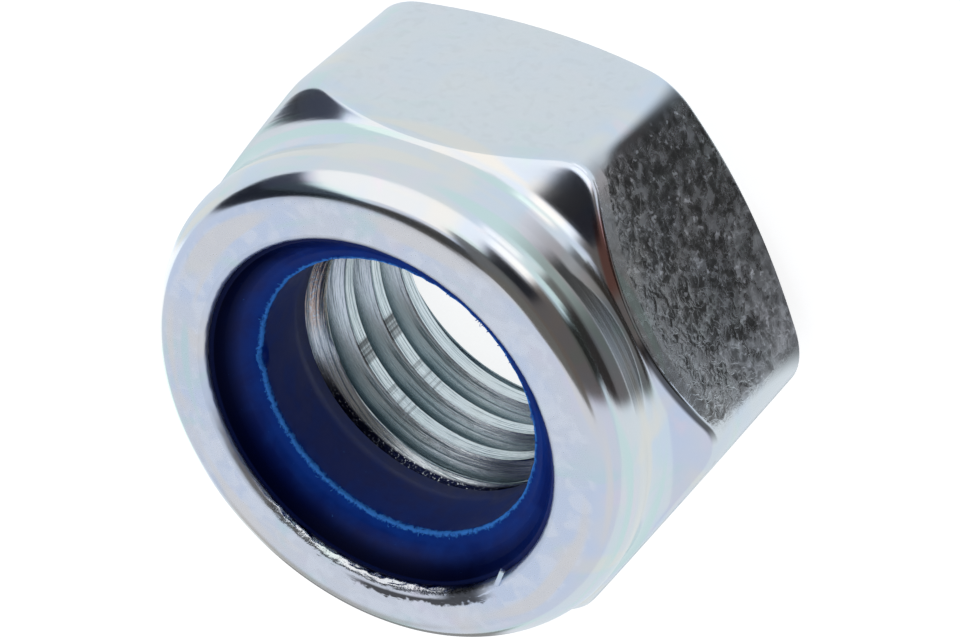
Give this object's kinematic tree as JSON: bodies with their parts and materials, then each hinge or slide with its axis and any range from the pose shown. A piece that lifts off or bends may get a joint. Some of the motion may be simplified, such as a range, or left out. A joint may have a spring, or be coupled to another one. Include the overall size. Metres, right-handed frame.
{
  "type": "nylon insert lock nut",
  "caption": "Thin hexagonal lock nut with a rounded collar whose lip is rolled over a blue nylon locking ring; zinc-plated steel.",
  "frame": {"origin": "centre of the bearing face, on the thread axis", "axes": "+Z along the thread axis, from the bearing face towards the collar; +X normal to one wrench flat"},
  "size_m": [0.019, 0.0214, 0.0117],
  "materials": {
    "zinc_steel": "bright zinc plating, clear blue passivated",
    "blue_nylon": "moulded nylon, satin"
  },
  "bodies": {
    "root": {"nut_body": "zinc_steel", "nylon_insert": "blue_nylon"}
  },
  "joints": []
}
